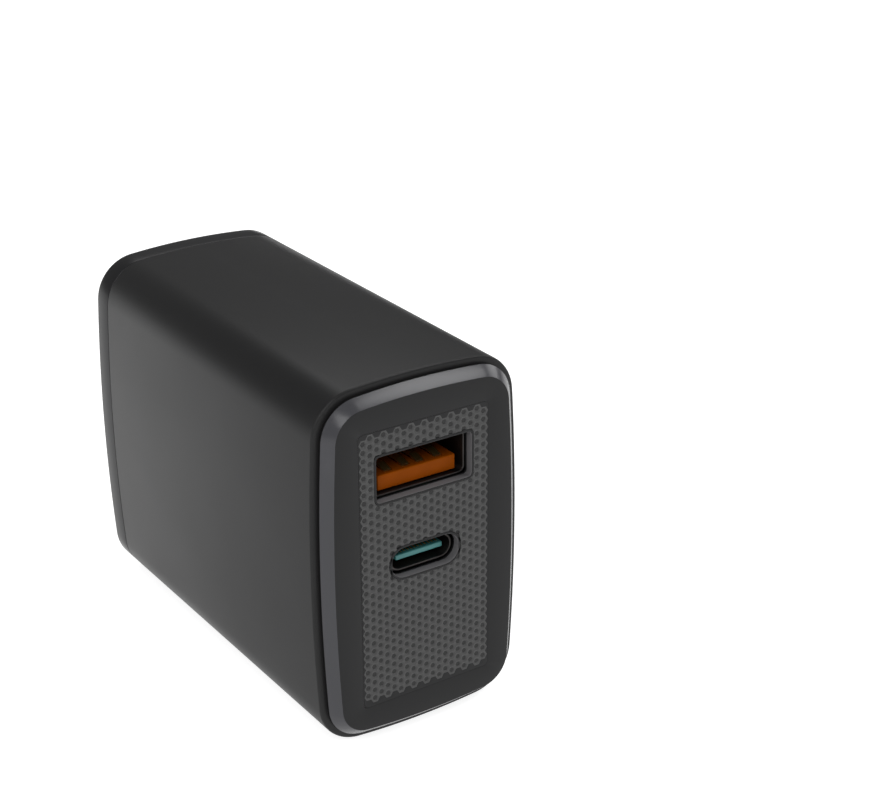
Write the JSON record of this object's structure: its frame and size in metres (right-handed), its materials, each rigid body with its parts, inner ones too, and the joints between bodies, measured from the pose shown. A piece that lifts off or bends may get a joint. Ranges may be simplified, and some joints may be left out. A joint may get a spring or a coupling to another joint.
{
  "type": "usb wall charger",
  "caption": "Compact mains charging block with a honeycomb port face, a wide USB-A socket, a slim USB-C socket and flat blades.",
  "frame": {"origin": "centre of the wall face, the flat face that the blades leave", "axes": "+Y out of the wall face along the blades, -Y towards the ports, +Z along the long side of the face towards the USB-A socket, X along the short side"},
  "size_m": [0.029, 0.0741, 0.0466],
  "materials": {
    "case_plastic": "satin dark grey moulding with a fine spark texture",
    "plate_plastic": "smooth dark grey moulding",
    "panel_plastic": "dark grey moulding with a honeycomb of fine cells",
    "cap_plastic": "smooth dark grey moulding",
    "black_plastic": "matt black moulding",
    "nickel": "polished nickel plate on brass",
    "copper": "bare copper alloy",
    "board_green": "green solder mask on glass-filled board",
    "ferrite": "matt sintered ferrite",
    "yellow_tape": "polyester film tape",
    "can_sleeve": "shrunk film sleeve",
    "green_ferrite": "coated ferrite",
    "chip_plastic": "moulded chip body",
    "fuse_brown": "moulded fuse body",
    "thermistor_green": "dipped disc",
    "capacitor_yellow": "box of filled plastic",
    "capacitor_blue": "dipped ceramic disc",
    "pad_grey": "soft silicone pad",
    "spreader_aluminium": "rolled sheet",
    "sheet_ivory": "thin insulating film",
    "can_aluminium": "drawn can",
    "shell_steel": "stamped steel with black nickel plate",
    "tongue_orange": "orange moulding",
    "tongue_teal": "teal moulding",
    "gold_contacts": "gold plated spring alloy"
  },
  "bodies": {
    "charger": {"sleeve": "case_plastic", "front_plate": "plate_plastic", "front_collar": "black_plastic", "texture_panel": "panel_plastic", "rear_cap": "cap_plastic", "blade_carrier": "black_plastic", "line_blade": "nickel", "neutral_blade": "nickel", "line_contact": "copper", "neutral_contact": "copper", "main_board": "board_green", "port_board": "board_green", "transformer_core": "ferrite", "transformer_bobbin": "black_plastic", "transformer_winding": "copper", "transformer_tape": "yellow_tape", "bulk_capacitors": "can_sleeve", "choke_core": "green_ferrite", "choke_winding": "copper", "bridge_rectifier": "chip_plastic", "fuse": "fuse_brown", "inrush_thermistor": "thermistor_green", "x_capacitor": "capacitor_yellow", "y_capacitor": "capacitor_blue", "bias_capacitor": "can_sleeve", "optocoupler": "chip_plastic", "power_switch": "chip_plastic", "sync_rectifier": "chip_plastic", "pwm_controller": "chip_plastic", "thermal_pads": "pad_grey", "heat_spreader": "spreader_aluminium", "insulation_sheet": "sheet_ivory", "output_capacitors": "can_aluminium", "output_inductor": "ferrite", "protocol_chip": "chip_plastic", "usb_a_shell": "shell_steel", "usb_a_tongue": "tongue_orange", "usb_a_pins": "gold_contacts", "usb_c_shell": "shell_steel", "usb_c_tongue": "tongue_teal", "usb_c_contacts": "gold_contacts", "usb_c_riser": "black_plastic"},
    "usb_a_springs": {"usb_a_contacts": "gold_contacts"}
  },
  "joints": [
    {"name": "usb_a_spring_bend", "type": "hinge", "parent": "charger", "child": "usb_a_springs", "pos_m": [0, -0.0463, 0.011], "axis": [1, 0, 0], "range_deg": [0, 2.5], "stiffness_Nm_per_rad": 0.1}
  ]
}
